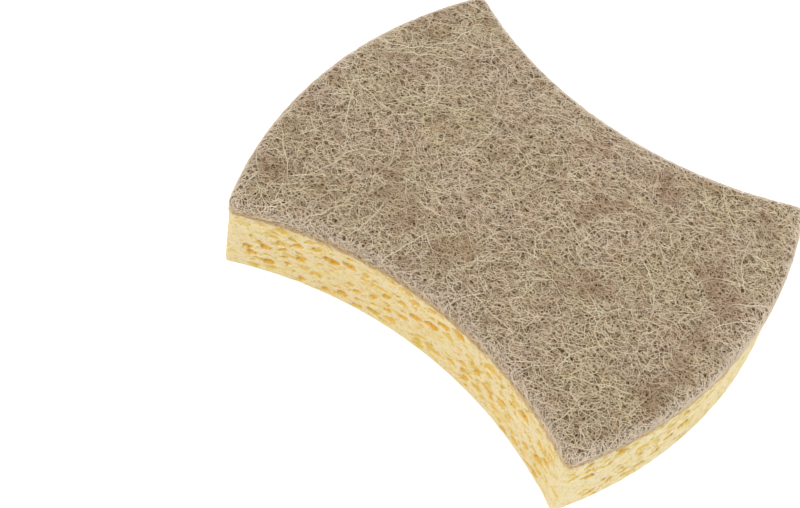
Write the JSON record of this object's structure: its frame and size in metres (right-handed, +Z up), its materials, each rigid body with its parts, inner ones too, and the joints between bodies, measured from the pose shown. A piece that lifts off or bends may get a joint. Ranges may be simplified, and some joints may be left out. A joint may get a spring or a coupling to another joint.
{
  "type": "cleaning sponge",
  "caption": "Waisted scrubbing sponge: an open-celled cellulose foam block with a felted plant-fibre scouring pad bonded to one face.",
  "frame": {"origin": "middle of the foam's underside, on the surface that the sponge lies on", "axes": "+X along the sponge towards one bowed end, +Y across it towards one hollow side, +Z up from the foam to the pad"},
  "size_m": [0.11, 0.0856, 0.02],
  "materials": {
    "foam": "matte",
    "felt": "matte"
  },
  "bodies": {
    "root": {"foam_block": "foam", "scouring_pad": "felt"}
  },
  "joints": []
}
